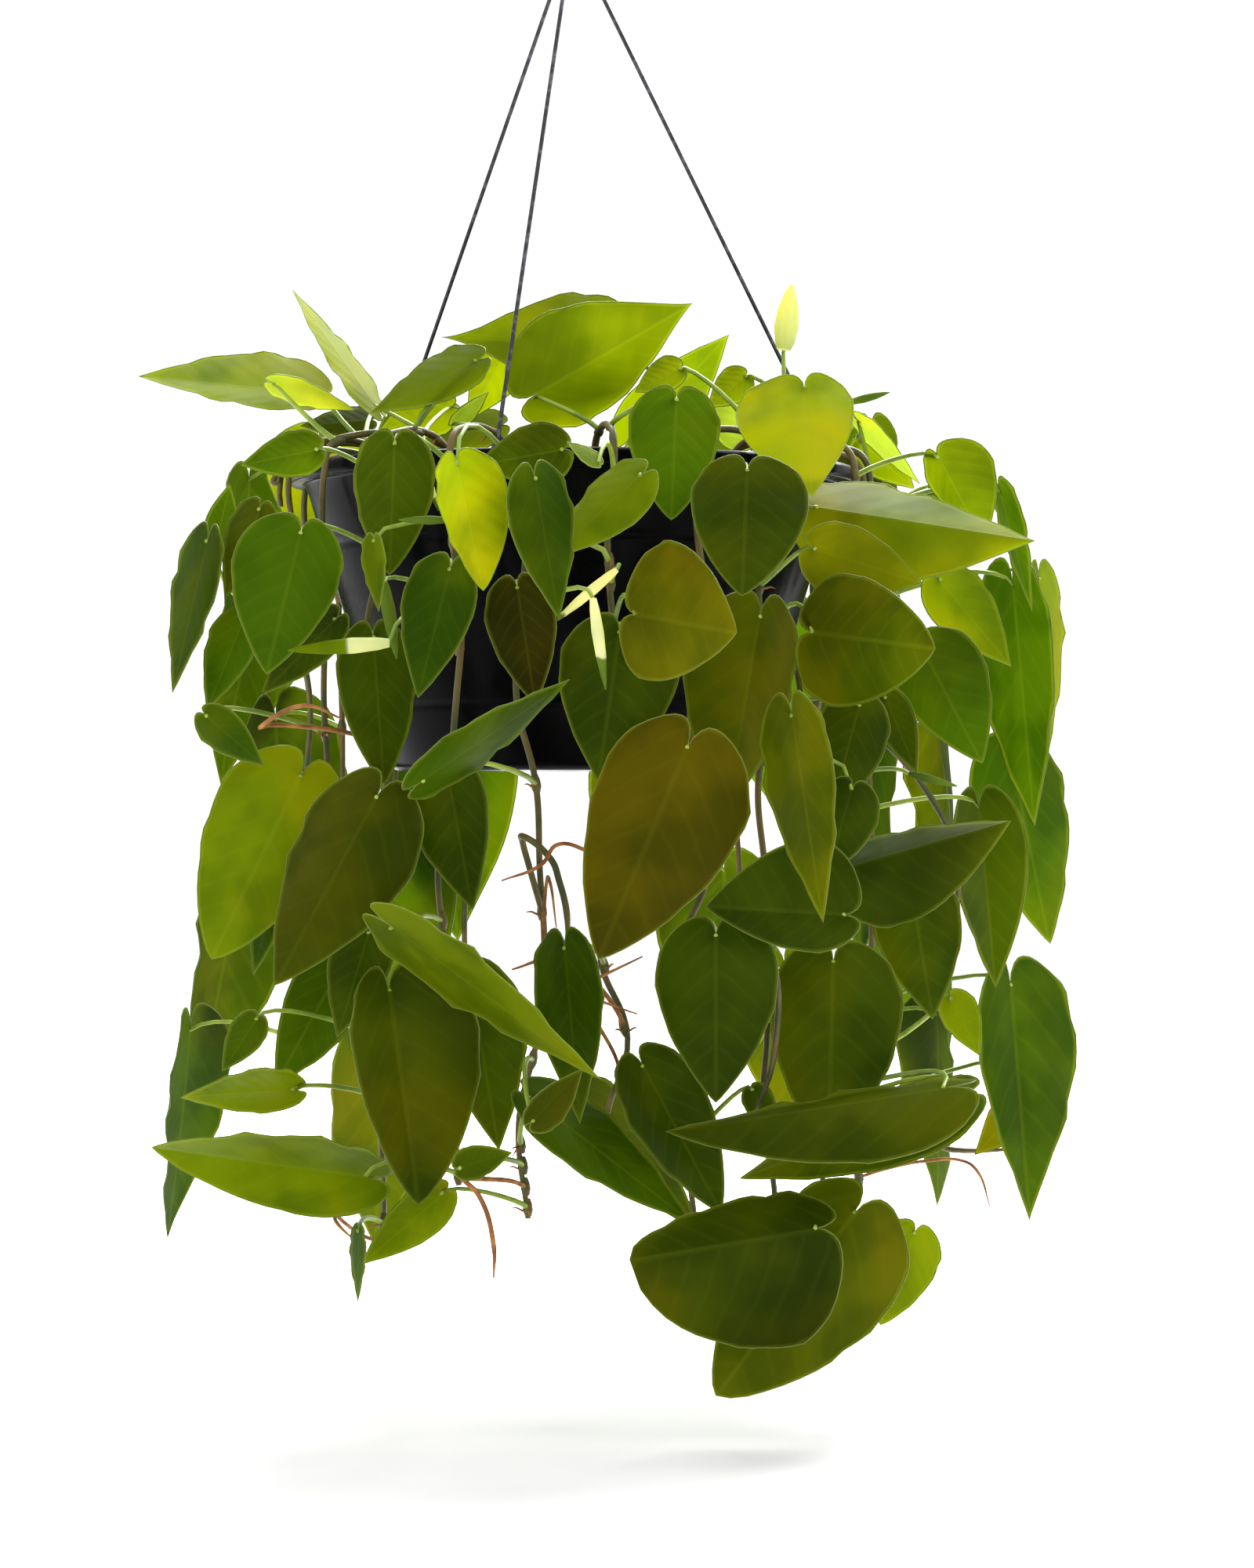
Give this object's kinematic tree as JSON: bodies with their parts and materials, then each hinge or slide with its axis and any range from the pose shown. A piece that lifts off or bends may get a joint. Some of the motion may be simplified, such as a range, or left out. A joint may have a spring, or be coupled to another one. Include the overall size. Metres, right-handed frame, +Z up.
{
  "type": "golden heartleaf philodendron in a hanging pot",
  "caption": "Trailing house plant with heart-shaped lime-green leaves, spilling from a black plastic pot that hangs on three wires gathered under a hook.",
  "frame": {"origin": "the inside top of the hook's bend, where the plant hangs", "axes": "+Z up, -Y towards the viewer of the picture, +X to that viewer's right"},
  "size_m": [0.3576, 0.371, 0.5987],
  "materials": {
    "leaf_green": "satin leaf",
    "black_plastic": "glossy moulded plastic",
    "dark_wire": "dark drawn wire",
    "soil": "moist potting soil"
  },
  "bodies": {
    "root": {"pot": "black_plastic", "soil": "soil", "hanger_hook": "dark_wire", "hanger_ferrule": "dark_wire", "hanger_wire_1": "dark_wire", "hanger_wire_2": "dark_wire", "hanger_wire_3": "dark_wire", "vine_01": "leaf_green", "vine_02": "leaf_green", "vine_03": "leaf_green", "vine_04": "leaf_green", "vine_05": "leaf_green", "vine_06": "leaf_green", "vine_07": "leaf_green", "vine_08": "leaf_green", "vine_09": "leaf_green", "vine_10": "leaf_green", "vine_11": "leaf_green", "vine_12": "leaf_green", "vine_13": "leaf_green", "vine_14": "leaf_green", "vine_15": "leaf_green", "vine_16": "leaf_green", "vine_17": "leaf_green", "vine_18": "leaf_green", "vine_19": "leaf_green", "vine_20": "leaf_green", "vine_21": "leaf_green", "vine_22": "leaf_green", "vine_23": "leaf_green", "vine_24": "leaf_green"}
  },
  "joints": []
}
